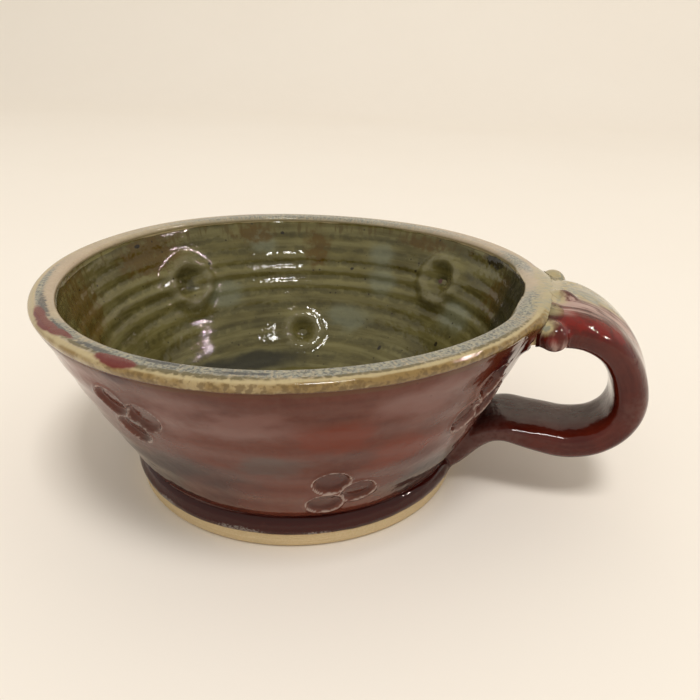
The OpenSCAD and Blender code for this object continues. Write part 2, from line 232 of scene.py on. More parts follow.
# The clay's section, from the middle of the underside out, up, over the lip and down to the middle of the floor
out_h = waist_h + (lip_side_h - waist_h) * np.linspace(0, 1, 300)[1:] ** (1 / wall_power)
in_h = np.linspace(bowl_h - lip_inner_round, floor_curve_h, 200)[1:]
edge_r = wall_radius(floor_curve_h) - wall_t
corner_r = edge_r - wall_lean(floor_curve_h) * (floor_curve_h - floor_h)
u = np.linspace(0, 1, 60)[1:, None]
section = softened(np.concatenate([
    [[0, hollow_h], [ring_in_r, hollow_h], [ring_in_r, 0], [foot_r - bevel, 0], [foot_r, bevel]],
    round_part((waist_r - glaze_t, roll_h), (roll_r - waist_r, waist_h - roll_h), 0, 90),
    np.stack([wall_radius(out_h) - glaze_t, out_h], 1),
    round_part((lip_r - lip_round, lip_side_h), (lip_round - glaze_t, lip_drop - glaze_t), 0, 90),
    round_part(
        (lip_r - lip_w + lip_inner_round, bowl_h - lip_inner_round),
        (lip_inner_round - glaze_t, lip_inner_round - glaze_t), 90, 180,
    ),
    np.stack([wall_radius(in_h) - wall_thick(in_h) + glaze_t, in_h], 1),
    (1 - u) ** 2 * [[edge_r + glaze_t, floor_curve_h]] + 2 * u * (1 - u) * [[corner_r + glaze_t, floor_h - glaze_t]]
    + u ** 2 * [[floor_flat_r, floor_h - glaze_t]],
    [[0, floor_h - glaze_t]],
]), section_step, section_soft)
section_run = np.concatenate([[0], np.cumsum(np.hypot(*np.diff(section, axis=0).T))])
slope = np.gradient(section, axis=0)
slope /= np.hypot(*slope.T)[:, None]
section_out = np.stack([slope[:, 1], -slope[:, 0]], 1)
top_run = section_run[np.argmax(section[:, 1])]
foot_run = section_run[np.argmax(section[:, 0] > foot_r - bevel)]


def run_at(height, inside):
    """Length along the section at which the outside, or the inside, passes a height."""
    part = (section_run > top_run) if inside else (section_run > foot_run) & (section_run < top_run)
    level, run = section[part, 1], section_run[part]
    return np.interp(height, level[::-1], run[::-1]) if inside else np.interp(height, level, run)


def sway(points):
    """Lets the thrown rim wander off its circle: radius and height change with waves round the axis, counted from the
    camera's side, which grow with the square of the height and fade along the handle."""
    x, y, z = points[..., 0], points[..., 1], points[..., 2]
    t = np.arctan2(y, x) - turned
    past_lip = np.clip(np.hypot(x, y) - lip_r, 0, None)
    grow = np.clip(z / bowl_h, 0, 1.2) ** 2 * np.exp(-past_lip / sway_fade)
    wide, high = (
        sum(even * np.cos(n * t) + odd * np.sin(n * t) for n, even, odd in waves)
        for waves in (radius_waves, height_waves)
    )
    return np.stack([x * (1 + wide * grow), y * (1 + wide * grow), z + high * grow], -1)


def off_by(degrees, angle):
    """Signed angle in degrees from one way to another, the short way round."""
    return (degrees - angle + 180) % 360 - 180


def ring_wave(a, z):
    """The throwing rings from -1 to 1: the cosine of a spiral of one pitch to the turn, which sways with height."""
    return np.cos(2 * np.pi * z / ring_pitch + a + 0.5 * np.sin(z / 7))


def finger_waves(a, r, z, runs):
    """How far the potter's fingers left the surface off its section: inside, rings that are deepest half way up the
    wall, and finer ones on the floor; outside, a shallow spiral and slow waves of 3, 5 and 9 to the turn."""
    inside = ease(top_run + 1, top_run + 5, runs)
    outside = ease(waist_h - 1, waist_h + 4, z) * ease(0.5, 4, top_run - runs) * (runs < top_run)
    up_wall = np.clip((z - floor_curve_h) / (bowl_h - lip_swell_h / 2 - floor_curve_h), 0, 1)
    rings = ring_depth * (np.sin(np.pi * up_wall) ** 2 + 0.25) * ring_wave(a, z) * ease(*floor_to_wall, z)
    floor_rings = floor_ring_depth * np.cos(2 * np.pi * r / floor_ring_pitch + a) * ease(16, 12, z) * ease(2, 8, r)
    waves = (
        outer_depth * np.sin(2 * np.pi * z / outer_pitch + a + np.sin(a + 1)) + 0.10 * np.sin(3 * a - z / 6 + 2)
        + 0.08 * np.sin(5 * a + z / 7) + 0.05 * np.sin(9 * a + z / 4 + 1)
    )
    return outside * waves - inside * (rings + floor_rings)


def press_print(places, on, angle, height, twist, large):
    """One flat round press, square to the leaning wall: how far it sinks each place to its plane, and that way, then
    three masks: its dip, the pale line on its edge (glaze thin there, with a painted reflection), and its burr. There
    is no print where `on` is false."""
    side = large * press_offset * math.cos(math.radians(twist))
    h = height + large * press_offset * math.sin(math.radians(twist))
    steep = math.atan(float(wall_lean(h)))
    way = math.radians(angle) + side / float(wall_radius(h))
    out = np.array([math.cos(steep) * math.cos(way), math.cos(steep) * math.sin(way), -math.sin(steep)])
    r = float(wall_radius(h)) - glaze_t
    from_middle = places - np.array([r * math.cos(way), r * math.sin(way), h])
    up = from_middle @ out
    past = np.linalg.norm(from_middle - up[..., None] * out, axis=-1) - large * press_r
    dip = (1 - ease(-side_in, side_out, past)) * on
    # The pale line: glaze thin on the press's edge, and a painted reflection along it
    thin_glaze_and_sheen = np.exp(-((past - pale_line_out) / pale_line_w) ** 2) * on
    burr = np.exp(-((past - burr_out) / burr_w) ** 2) * on
    return np.minimum(-press_depth - up, 0) * dip, out, dip, thin_glaze_and_sheen, burr


def fingertip_print(places, on, angle, tip, ring_r):
    """The knob behind a stamp, where a fingertip held the wall: bell curves of the distance from its ring's radius and
    from its middle, as masks of the ring and of the dimple."""
    r = float(wall_radius(tip) - wall_thick(tip)) + glaze_t
    way = math.radians(angle)
    far = np.linalg.norm(places - np.array([r * math.cos(way), r * math.sin(way), tip]), axis=-1)
    return np.exp(-((far - ring_r) / knob_w) ** 2) * on, np.exp(-(far / dimple_w) ** 2) * on


def bowl_points(angles, runs, lift):
    """Points of the bowl before its sway, with marks for the glaze. Each is the section's point plus lift along its
    normal, turned by its angle; throwing rings wave it, presses flatten it to their planes, and fingertips raise a
    ring round a dimple inside."""
    runs = np.broadcast_to(runs if runs.ndim == 2 else runs[:, None], (runs.shape[0], len(angles)))
    a, lift = np.broadcast_to(angles, runs.shape), np.broadcast_to(lift, runs.shape)
    r, z, nr, nz = (np.interp(runs, section_run, column) for column in (*section.T, *section_out.T))
    size = np.hypot(nr, nz)
    nr, nz = nr / size, nz / size
    base = np.stack([r * np.cos(a), r * np.sin(a), z], -1)
    normal = np.stack([nr * np.cos(a), nr * np.sin(a), nz], -1)
    moved = base + normal * finger_waves(a, r, z, runs)[..., None]
    dent, dent_way, burr = np.zeros(runs.shape), np.zeros(runs.shape + (3,)), np.zeros(runs.shape)
    marks = {name: np.zeros(runs.shape) for name in ("edge", "dip", "knob", "dimple")}
    marks["hollow"] = 0.5 + 0.5 * ring_wave(a, z) * ease(*floor_to_wall, z)
    marks["flow"] = mm * np.stack([flow_r * np.cos(a), flow_r * np.sin(a), runs], -1)

    def strongest(marked, near, values):
        marked[:, near] = np.maximum(marked[:, near], values)

    for angle, height, twist, large, tip in stamps:
        near = np.nonzero(np.abs(off_by(np.degrees(angles), angle)) < stamp_reach)[0]
        places, outside, inside = base[:, near], runs[:, near] < top_run, runs[:, near] > top_run
        for press in (0, 120, 240):
            sunk, out, dip, thin_glaze_and_sheen, raised = press_print(places, outside, angle, height, press + twist, large)
            deeper = sunk < dent[:, near]
            dent[:, near] = np.where(deeper, sunk, dent[:, near])
            dent_way[:, near] = np.where(deeper[..., None], out, dent_way[:, near])
            strongest(marks["dip"], near, dip)
            strongest(marks["edge"], near, thin_glaze_and_sheen)
            strongest(burr, near, raised)
        knob_r, knob_h = high_knob if height > low_row_h else low_knob
        ring, dimple = fingertip_print(places, inside, angle, tip, knob_r)
        moved[:, near] += normal[:, near] * (knob_h * ring - dimple_depth * dimple)[..., None]
        strongest(marks["knob"], near, ring)
        strongest(marks["dimple"], near, dimple)
    burr = burr_h * burr * (marks["dip"] < 0.5)
    return moved + dent_way * dent[..., None] + normal * (burr + lift)[..., None], marks


def even_angles(count):
    """Angles of so many columns, evenly round the axis."""
    return 2 * np.pi * np.arange(count) / count


def daubs(angles, heights, spots):
    """Patches round the mug, each with its angle, height and half sizes: the highest of their bell curves."""
    best = np.zeros(np.broadcast(angles, heights).shape)
    for angle, height, wide, high in spots:
        off = off_by(np.degrees(angles), angle)
        best = np.maximum(best, np.exp(-(off / wide) ** 2 - ((heights - height) / high) ** 2))
    return best


def near_stamps(angles, runs):
    """One at the middle of each stamp and of the fingertip behind it, falling off under a bell curve 11 degrees and
    13 mm wide. The clay and the coats' backs, which have fewer rows than the fronts, are sunk there to stay behind."""
    spots = [(angle, height, 11, 13) for angle, height, *_ in stamps]
    return daubs(angles, np.interp(runs, section_run, section[:, 1]), spots)


def stretches(stops, counts):
    """Values from the first stop to the last, with so many evenly from each stop to the next, and every stop once."""
    parts = [np.linspace(low, high, count)[1:] for low, high, count in zip(stops, stops[1:], counts)]
    return np.concatenate([stops[:1], *parts])


def clouds(tree, where, millimetres, low, high, longer=(1, 1, 1), detail=3.0):
    """A soft mask: noise about so many millimetres across, drawn out along the axes, eased from low to high."""
    scale = [1000 / (millimetres * times) for times in longer]
    spot = put(tree, "ShaderNodeMapping", {"Vector": where, "Scale": scale}).outputs[0]
    noise = put(tree, "ShaderNodeTexNoise", {"Vector": spot, "Scale": 1.0, "Detail": detail}).outputs["Fac"]
    return put(tree, "ShaderNodeMapRange", {0: noise, 1: low, 2: high}, interpolation_type="SMOOTHSTEP").outputs[0]


def torn(tree, mark, noise, amount, low, high):
    """A mask with a ragged edge: the mark times one plus or less the noise's share of the amount, eased."""
    mark = put(tree, "ShaderNodeAttribute", {}, attribute_name=mark).outputs["Fac"]
    gain = put(tree, "ShaderNodeMath", {0: noise, 1: 2 * amount, 2: 1 - amount}, operation="MULTIPLY_ADD").outputs[0]
    moved = put(tree, "ShaderNodeMath", {0: mark, 1: gain}, operation="MULTIPLY").outputs[0]
    limits = {0: moved, 1: low, 2: high}
    return put(tree, "ShaderNodeMapRange", limits, interpolation_type="SMOOTHSTEP").outputs[0]


def specks(tree, where, millimetres, share, size):
    """Round specks in a share of the cells of a pattern so many millimetres wide, their size a part of a cell's."""
    cell = put(tree, "ShaderNodeTexVoronoi", {"Vector": where, "Scale": 1000 / millimetres})
    chance = put(tree, "ShaderNodeSeparateColor", {0: cell.outputs["Color"]}).outputs
    there = put(tree, "ShaderNodeMath", {0: chance[0], 1: share}, operation="LESS_THAN").outputs[0]
    sizes = {0: chance[1], 1: size * 0.7, 2: size * 0.3}
    reach = put(tree, "ShaderNodeMath", sizes, operation="MULTIPLY_ADD").outputs[0]
    inside = put(tree, "ShaderNodeMath", {0: reach, 1: cell.outputs["Distance"]}, operation="SUBTRACT").outputs[0]
    mask = put(tree, "ShaderNodeMapRange", {0: inside, 1: 0.0, 2: size * 0.4}).outputs[0]
    return put(tree, "ShaderNodeMath", {0: mask, 1: there}, operation="MULTIPLY").outputs[0]


def layers(tree, tone, *coats):
    """Colours laid over the first, one after another, each through its mask and at its own strength."""
    for mask, strength, colour in coats:
        seen = put(tree, "ShaderNodeMath", {0: mask, 1: strength}, operation="MULTIPLY").outputs[0]
        tone = put(tree, "ShaderNodeMix", {0: seen, 6: tone, 7: colour}, data_type="RGBA").outputs[2]
    return tone


def finish(tree, tone, rough, reliefs, shine=0.5):
    """Ends a material: bumps one over another, each from its height pattern and depth in metres, and the shader."""
    way = {}
    for height, depth in reliefs:
        bump = put(tree, "ShaderNodeBump", {"Height": height, "Strength": 1.0, "Distance": depth, **way})
        way = {"Normal": bump.outputs[0]}
    surface = {"Base Color": tone, "Roughness": rough, "IOR": 1.5, "Specular IOR Level": shine, **way}
    shade = put(tree, "ShaderNodeBsdfPrincipled", surface)
    put(tree, "ShaderNodeOutputMaterial", {"Surface": shade.outputs[0]})


def skin(name, points, closed_rows, poles, material, marks=None):
    """A mesh from a grid of points in millimetres, rows by columns. The columns close round, the last row
    joins the first where closed_rows is true, and each pole is one point that closes an open end."""
    rows, cols = points.shape[:2]
    i = np.arange(rows if closed_rows else rows - 1)[:, None]
    j = np.arange(cols)[None, :]
    i2, j2 = (i + 1) % rows, (j + 1) % cols
    quads = np.stack([i * cols + j, i * cols + j2, i2 * cols + j2, i2 * cols + j], -1).reshape(-1, 4)
    places = [points.reshape(-1, 3)]
    fans = []
    for end, pole in enumerate(poles):
        top = rows * cols + len(fans)
        edge = (rows - 1) * cols * end
        a, b = edge + j[0], edge + j2[0]
        fans.append(np.stack([b, a, np.full(cols, top)] if end == 0 else [a, b, np.full(cols, top)], 1))
        places.append(np.array([pole], float))
    corners = np.concatenate([quads.ravel()] + [f.ravel() for f in fans])
    counts = np.concatenate([np.full(len(quads), 4)] + [np.full(len(f), 3) for f in fans])
    places = np.concatenate(places) * mm
    mesh = bpy.data.meshes.new(name)
    mesh.vertices.add(len(places))
    mesh.vertices.foreach_set("co", places.astype(np.float32).ravel())
    mesh.loops.add(len(corners))
    mesh.loops.foreach_set("vertex_index", corners.astype(np.int32))
    mesh.polygons.add(len(counts))
    mesh.polygons.foreach_set("loop_start", (np.cumsum(counts) - counts).astype(np.int32))
    mesh.polygons.foreach_set("use_smooth", np.ones(len(counts), bool))
    for mark, values in (marks or {}).items():
        flat = values.reshape(rows * cols, -1)
        flat = np.concatenate([flat] + [flat[[0]]] * len(fans))
        vector = flat.shape[1] == 3
        layer = mesh.attributes.new(mark, "FLOAT_VECTOR" if vector else "FLOAT", "POINT")
        layer.data.foreach_set("vector" if vector else "value", flat.astype(np.float32).ravel())
    mesh.update(calc_edges=True)
    mesh.materials.append(material)
    piece = bpy.data.objects.new(name, mesh)
    bpy.context.scene.collection.objects.link(piece)
    return piece


# Unglazed stoneware: smooth and matt, sandy, with the turning tool's faint lines and a few iron specks
clay, tree = new_material("bare_buff_stoneware")
place = put(tree, "ShaderNodeTexCoord", {}).outputs["Object"]
grain = clouds(tree, place, 0.5, 0.3, 0.7, detail=4.0)
lines = clouds(tree, place, 0.5, 0.35, 0.65, longer=(40, 40, 1))
warm = clouds(tree, place, 9, 0.35, 0.7)
tone = layers(
    tree, "#cab388", (grain, 0.6, "#dac6a2"), (lines, 0.4, "#bca377"), (warm, 0.4, "#d2b78a"),
    (specks(tree, place, 2.2, 0.35, 0.16), 0.8, "#6b5138"),
)
finish(tree, tone, 0.75, [(lines, 0.00006), (grain, 0.00003)])

hollow_flat, corner_gap = 43, 0.3  # the rows are close from the hollow's corner on
middle_gap = 0.5  # distance of the first and last rows from the middle
clay_sunk = 0.5  # how deep the clay is sunk at the stamps
stops = [
    hollow_flat + corner_gap, foot_run - corner_gap, run_at(band_h + 2, False), run_at(rim_line_h, False),
    run_at(lap_line_h, True), section_run[-1] - middle_gap,
]
runs = np.concatenate([np.linspace(middle_gap, hollow_flat, 12), stretches(stops, [40, 18, 60, 30, 80])[1:]])
angles = even_angles(360)
points, _ = bowl_points(angles, runs, -clay_sunk * near_stamps(angles, runs[:, None]))
piece = skin(
    "thrown_bowl_clay", sway(points), False, [(0, 0, section[0, 1]), (0, 0, section[-1, 1])], clay,
)
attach(piece, "root"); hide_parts("thrown_bowl")

# ---------------------------------------------------------------------------
# The slip joints: wet clay scored and brushed between the handle and the wall.
# They are shut in on all sides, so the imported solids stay, in fired slip.
# ---------------------------------------------------------------------------

# Fired slip: brushed on, rough and matt, a shade darker than the clay, with a grain of about a millimetre
slip, tree = new_material("fired_joining_slip")
place = put(tree, "ShaderNodeTexCoord", {}).outputs["Object"]
grain = put(tree, "ShaderNodeTexNoise", {"Vector": place, "Scale": 900.0, "Detail": 5.0}).outputs["Fac"]
tone = put(tree, "ShaderNodeMix", {0: grain, 6: "#8d734e", 7: "#b4966a"}, data_type="RGBA").outputs[2]
relief = put(tree, "ShaderNodeBump", {"Height": grain, "Strength": 0.6, "Distance": 0.0002}).outputs[0]
shade = put(tree, "ShaderNodeBsdfPrincipled", {"Base Color": tone, "Roughness": 0.85, "Normal": relief})
put(tree, "ShaderNodeOutputMaterial", {"Surface": shade.outputs[0]})
for joint in ("upper_slip_joint", "lower_slip_joint"):
    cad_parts[joint].data.materials.clear()
    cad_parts[joint].data.materials.append(slip)

# ---------------------------------------------------------------------------
# The handle: a strap of clay pulled by hand, broad on the lip and narrow round
# the bend, whose lower end is smeared down the wall as a tongue.
# ---------------------------------------------------------------------------
strap_t, strap_w = 9.9, 42.0  # what the strap's shares of thickness and of width are shares of
strap_power, inner_power = 2.7, 3.8  # squareness of the section: its outer half, and its flat inner half
usual_half_t, usual_half_w = 5, 12  # the section by whose rim the columns are spaced
spine_step, spine_soft = 0.25, 1.2  # steps along the middle line, and the width of the bell curve that smooths it
flute_depth, flute_turn = 0.14, 7.5  # the finger flutes, and how far their wave turns from the middle to an edge
strap_line = np.array([  # radius, height, share of the width, share of the thickness
    (67.1, 56.7, 1.04, 1.00), (74.0, 57.3, 0.99, 1.00), (81.3, 57.1, 0.90, 1.00), (87.0, 54.8, 0.81, 0.98),
    (91.4, 51.3, 0.72, 0.98), (94.7, 46.75, 0.63, 1.00), (97.1, 41.5, 0.56, 1.02), (98.65, 34.9, 0.51, 1.02),
    (97.9, 29.45, 0.485, 1.02), (95.2, 24.75, 0.49, 1.00), (90.1, 21.0, 0.51, 1.00), (82.9, 19.3, 0.53, 1.00),
    (75.9, 19.9, 0.54, 0.95), (70.6, 20.6, 0.55, 0.83), (65.8, 21.4, 0.56, 0.74), (61.4, 20.4, 0.54, 0.74),
    (56.5, 17.0, 0.50, 0.88), (52.7, 12.9, 0.46, 0.96), (50.4, 8.6, 0.40, 0.80), (48.2, 4.6, 0.30, 0.34),
])


def through(knots, count):
    """Catmull-Rom curve through the knots, with so many points between two of them."""
    ends = np.concatenate([knots[[0]], knots, knots[[-1]]])
    a, b, c, d = (ends[k:len(ends) - 3 + k, None, :] for k in range(4))
    t = (np.arange(count) / count)[None, :, None]
    curve = (2 * b + (c - a) * t + (2 * a - 5 * b + 4 * c - d) * t ** 2 + (3 * b - a - 3 * c + d) * t ** 3) / 2
    return np.concatenate([curve.reshape(-1, knots.shape[1]), knots[[-1]]])


spine = softened(through(strap_line, 30), spine_step, spine_soft)
tangent = np.gradient(spine[:, :2], axis=0)
tangent /= np.hypot(*tangent.T)[:, None]
spine_out = np.stack([-tangent[:, 1], tangent[:, 0]], 1)
half_w, half_t = spine[:, 2] * strap_w / 2, spine[:, 3] * strap_t / 2


def round_section(count):
    """Cosines and sines, to the power of 2 over the section's squareness, of angles that lie evenly along its rim,
    and the share of the way round it."""
    a = np.linspace(0, 2 * np.pi, 8 * 360 + 1)
    power = 2 / np.where(np.cos(a) < 0, inner_power, strap_power)
    c = np.sign(np.cos(a)) * np.abs(np.cos(a)) ** power
    s = np.sign(np.sin(a)) * np.abs(np.sin(a)) ** power
    run = np.concatenate([[0], np.cumsum(np.hypot(np.diff(usual_half_t * c), np.diff(usual_half_w * s)))])
    at = run[-1] * np.arange(count) / count
    return np.interp(at, run, c), np.interp(at, run, s), at / run[-1]


def strap_points(rows, c, s, lift):
    """Points of the strap: its middle line at each row, plus the section's cosine across its thickness and sine
    across its width, both half sizes grown by lift. Flutes from the maker's fingers run along it."""
    r, z, out_r, out_z, ht, hw = (
        np.interp(rows, np.arange(len(spine)), values)
        for values in (spine[:, 0], spine[:, 1], spine_out[:, 0], spine_out[:, 1], half_t, half_w)
    )
    flute = flute_depth * np.cos(s * flute_turn + 0.6 * np.sin(rows / 60))
    flute = flute * ease(0.98, 0.6, np.abs(s)) * ease(260, 120, rows)  # none at the edges and past the bend
    uneven = 0.10 * np.sin(rows / 37 + 3 * s) + 0.06 * np.sin(rows / 19 - 3 * s + 1)
    thick = c * (ht + lift + (flute + uneven) * ease(0.2, 0.7, c))
    return np.stack([r + out_r * thick, -(hw + lift) * s, z + out_z * thick], -1)


c, s, part_round = round_section(144)
rows = np.linspace(0, len(spine) - 1, 150)[:, None]
points = strap_points(rows, c[None, :], s[None, :], -glaze_t)
piece = skin(
    "pulled_handle_clay", sway(points), False,
    [sway(points[[0]])[0].mean(0), sway(points[[-1]])[0].mean(0)], clay,
)
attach(piece, "root"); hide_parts("pulled_handle")

# ---------------------------------------------------------------------------
# The pellets: three clay balls rolled between finger and thumb, and pressed in
# where the strap meets the lip. They are stoneware, under the handle's glaze.
# ---------------------------------------------------------------------------
balls = {  # centre and radius, glaze included
    "front_pellet": ((74.6, -19.3, 56.9), 3.8),
    "middle_pellet": ((76.8, -2.6, 59.2), 4.6),
    "rear_pellet": ((74.7, 19.3, 58.8), 3.9),
}


def ball_points(centre, radius, rows, cols):
    """A ball as rings from its bottom to its top: the radius times sine and cosine of two angles."""
    up = np.linspace(-90, 90, rows + 2)[1:-1, None] * np.pi / 180
    a = even_angles(cols)[None, :]
    return np.array(centre) + radius * np.stack(
        [np.cos(up) * np.cos(a), np.cos(up) * np.sin(a), np.sin(up) * np.ones_like(a)], -1
    )


for name, (centre, radius) in balls.items():
    points = ball_points(centre, radius - glaze_t, 22, 44)
    ends = sway(np.array(centre) + np.array([[0, 0, -1.0], [0, 0, 1.0]]) * (radius - glaze_t))
    piece = skin(name + "_clay", sway(points), False, list(ends), clay)
    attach(piece, "root"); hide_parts(name)

# ---------------------------------------------------------------------------
# The liner: green glaze poured into the bowl and swirled, clear enough to gather
# dark in the rings and to show the iron specks of the clay.
# ---------------------------------------------------------------------------
coat_t, coat_back = glaze_t - 0.04, -0.03  # how far a coat's face and its back stand off the clay
under_rim, thin_edge = 0.9, 0.2  # how far the liner runs on under the rim coat, and how much thinner it is there
liner_sunk = 1.4  # how deep its back is sunk at the stamps


def wander(angles, seed, size):
    """An uneven edge round the mug: waves of 3, 7, 13, 29 and 53 to the turn, each over the root of its number, and
    their sum over 1.6, which keeps it within the size."""
    chance = np.random.default_rng(seed)
    return size * sum(np.sin(n * angles + chance.uniform(0, 6.3)) / n ** 0.5 for n in (3, 7, 13, 29, 53)) / 1.6


def inner_edge(angles):
    """Where the rim coat ends over the liner, as a length along the section: its line, with a wander."""
    return run_at(lap_line_h, True) + wander(angles, 3, 0.5)[None, :]


# Glossy olive celadon: thin and tan on the crests, deep green in the hollows, amber where iron bleeds through, and
# painted shade at the inside's right end under the rim and low on the far wall
liner, tree = new_material("green_celadon_liner")
place = put(tree, "ShaderNodeTexCoord", {}).outputs["Object"]
flow = put(tree, "ShaderNodeAttribute", {}, attribute_name="flow").outputs["Vector"]
soft = clouds(tree, place, 13, 0.32, 0.68, detail=4.0)
fine = clouds(tree, place, 2.6, 0.3, 0.7, detail=4.0)
rings = clouds(tree, flow, 2.2, 0.38, 0.66, longer=(14, 14, 1))
runs_down = clouds(tree, flow, 2.4, 0.45, 0.72, longer=(1, 1, 5))
tone = layers(
    tree, "#4e4620", (soft, 0.8, "#6a6238"), (rings, 0.5, "#827b50"),
    (torn(tree, "hollow", fine, 0.5, 0.3, 1.1), 0.5, "#3a3517"),
    (torn(tree, "near_lip", runs_down, 0.8, 0.2, 0.9), 0.7, "#4e3f16"),
    (torn(tree, "blue", soft, 0.5, 0.2, 1.0), 0.6, "#727560"),
    (torn(tree, "amber", fine, 0.4, 0.25, 0.85), 0.85, "#553f0d"),
    # painted shade: the right end of the inside under the rim, and a band low on the far wall
    (torn(tree, "painted_shade", soft, 0.3, 0.2, 0.8), 0.9, "#1a1807"),
    (torn(tree, "knob", fine, 0.5, 0.3, 1.0), 0.5, "#7a7353"),
    (torn(tree, "dimple", fine, 0.4, 0.3, 1.0), 0.6, "#28260f"),
    (torn(tree, "iron", fine, 0.3, 0.3, 0.6), 0.9, "#1a1206"),
    (specks(tree, place, 2.6, 0.5, 0.19), 0.85, "#241906"), (specks(tree, place, 1.3, 0.25, 0.22), 0.5, "#33290f"),
)
swells, ripples = clouds(tree, place, 8, 0.2, 0.8), clouds(tree, place, 2.2, 0.2, 0.8)
finish(tree, tone, 0.025, [(swells, 0.00020), (ripples, 0.00008)], shine=0.42)

angles = even_angles(540)
lap_run = inner_edge(angles)
share = np.linspace(0, 1, 165)[:, None]
runs = lap_run - under_rim + (section_run[-1] - middle_gap - lap_run + under_rim) * share
front, marks = bowl_points(angles, runs, coat_t - thin_edge * ease(0.6, -0.4, runs - lap_run))
every = 12  # a coat's back, which nobody sees, has every so many of its rows
back_runs = runs[::-every]
back, _ = bowl_points(angles, back_runs, coat_back - liner_sunk * near_stamps(angles, back_runs))
points = np.concatenate([back, front])
heights = np.interp(runs, section_run, section[:, 1])
marks["near_lip"] = ease(7, 0, runs - lap_run)
marks["amber"] = daubs(angles, heights, [
    (100, 51, 5, 9), (198, 50, 13, 13), (160, 54, 14, 8), (122, 56, 9, 4), (62, 57, 10, 3),
    (20, 50, 12, 9), (300, 50, 20, 8), (245, 40, 16, 8),
])
# Painted shade: green-black at the inside's right end under the rim, and in a low band round the far side
marks["painted_shade"] = daubs(angles, heights, [(5, 49, 25, 17), (150, 14, 60, 3)])
marks["blue"] = daubs(angles, heights, [
    (76, 51, 6, 6), (75, 41, 6, 5), (40, 38, 9, 6), (119, 52, 6, 6), (135, 36, 9, 5), (88, 26, 14, 5),
    (280, 44, 14, 7), (220, 46, 9, 6),
])
marks["iron"] = daubs(angles, heights, [
    (87, 44, 0.6, 0.7), (68, 19, 0.9, 0.8), (42, 27, 0.8, 0.8), (63, 47, 0.6, 0.7), (163, 58, 1.2, 0.7),
    (32, 59, 5.0, 2.4), (112, 56, 0.8, 0.7), (139, 47, 0.7, 0.7), (272, 35, 0.8, 0.8), (350, 40, 0.8, 0.8),
])
marks = {name: np.concatenate([values[::-every], values]) for name, values in marks.items()}
middles = [(0, 0, section[-1, 1] + off) for off in (coat_back, coat_t)]
piece = skin("celadon_liner", sway(points), False, middles, liner, marks)
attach(piece, "root"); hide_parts("liner_glaze")

# ---------------------------------------------------------------------------
# The outside coat: copper red glaze, thick and mauve where it has settled, dark
# where it pools, and stopped by hand above the foot. In the kiln it has flowed
# together with the handle's coat, in a fillet round each joint.
# ---------------------------------------------------------------------------
tail_root, lip_root, pellet_root = 1.7, 4.0, 0.8  # how wide the fillets are at the tail, at the lip and by a pellet
tail_top, lip_bottom = 44, 56  # heights between which the tail's fillet grows into the lip's
joint_x, joint_y = 40, 34  # only what lies past this X and within this Y melts
melt_deep, melt_far = 0.7, 5  # points deeper in another part, or farther off, stay where they are
melt_steps, least_slope, longest_step = 7, 0.15, 1.2  # how many steps move a point, and what limits each
tiny = 1e-9  # keeps a division off zero
hem_swell, hem_up = 0.22, 1.9  # the thick hem over the bare band: extra thickness, and length up from the edge
hem_fade = 0.35  # length over which the brown along its edge fades
run_on, thin_top = 0.8, 0.22  # how far this coat runs on under the rim coat, and how much thinner it is there
outside_sunk = 2.2  # how deep its back is sunk at the stamps
plain_pace, stamp_pace, handle_pace = 1.3, 0.45, 0.6  # degrees between two columns
stamp_half, handle_half = 12.5, 19  # half the width in degrees of what gets closer columns


def coat_lift(runs, start, stop, soft):
    """Thickness of a coat: full between its edges, and falling to them on a quarter circle `soft` long."""
    near = np.clip(np.minimum(runs - start, stop - runs) / soft, 0, 1)
    return coat_t * np.sqrt(1 - (1 - near) ** 2)


def outer_edge(angles):
    """Where the rim coat ends over the outside coat, as a length along the section: its line, with a wander."""
    return run_at(rim_line_h, False) + wander(angles, 7, 0.35)[None, :]


def in_batches(values):
    """The values in parts of about four thousand, so that a table of distances to them stays small."""
    return np.array_split(values, len(values) // 4000 + 1)


def strap_gap(p):
    """Distance from the glazed strap and its direction: from the nearest point of the middle line, the section's
    value at its half sizes less one, over its slope."""
    near = np.concatenate([
        np.argmin((part[:, [0]] - spine[None, ::2, 0]) ** 2 + (part[:, [2]] - spine[None, ::2, 1]) ** 2, axis=1) * 2
        for part in in_batches(p)
    ])
    out, ht, hw = spine_out[near], half_t[near], half_w[near]
    e = (p[:, 0] - spine[near, 0]) * out[:, 0] + (p[:, 2] - spine[near, 1]) * out[:, 1]
    y = p[:, 1]
    n = np.where(e < 0, inner_power, strap_power)
    value = np.maximum((np.abs(e) / ht) ** n + (np.abs(y) / hw) ** n, tiny) ** (1 / n)
    de = value ** (1 - n) * np.sign(e) * np.abs(e) ** (n - 1) / ht ** n
    dy = value ** (1 - n) * np.sign(y) * np.abs(y) ** (n - 1) / hw ** n
    size = np.sqrt(de ** 2 + dy ** 2) + tiny
    way = np.stack([de * out[:, 0], dy, de * out[:, 1]], -1) / size[:, None]
    return (value - 1) / size, way


wall_side = (section_run > foot_run + 1) & (section_run < run_at(lap_line_h, True))
wall_line = (section + section_out * coat_t)[wall_side][::4]
wall_out = section_out[wall_side][::4]


def bowl_gap(p):
    """Distance from the glazed bowl and its direction: from the nearest point of its section, along that normal."""
    out_r = np.hypot(p[:, 0], p[:, 1])
    near = np.concatenate([
        np.argmin((r[:, None] - wall_line[None, :, 0]) ** 2 + (z[:, None] - wall_line[None, :, 1]) ** 2, axis=1)
        for r, z in zip(in_batches(out_r), in_batches(p[:, 2]))
    ])
    out = wall_out[near]
    gap = (out_r - wall_line[near, 0]) * out[:, 0] + (p[:, 2] - wall_line[near, 1]) * out[:, 1]
    return gap, np.stack([out[:, 0] * p[:, 0] / out_r, out[:, 0] * p[:, 1] / out_r, out[:, 1]], -1)


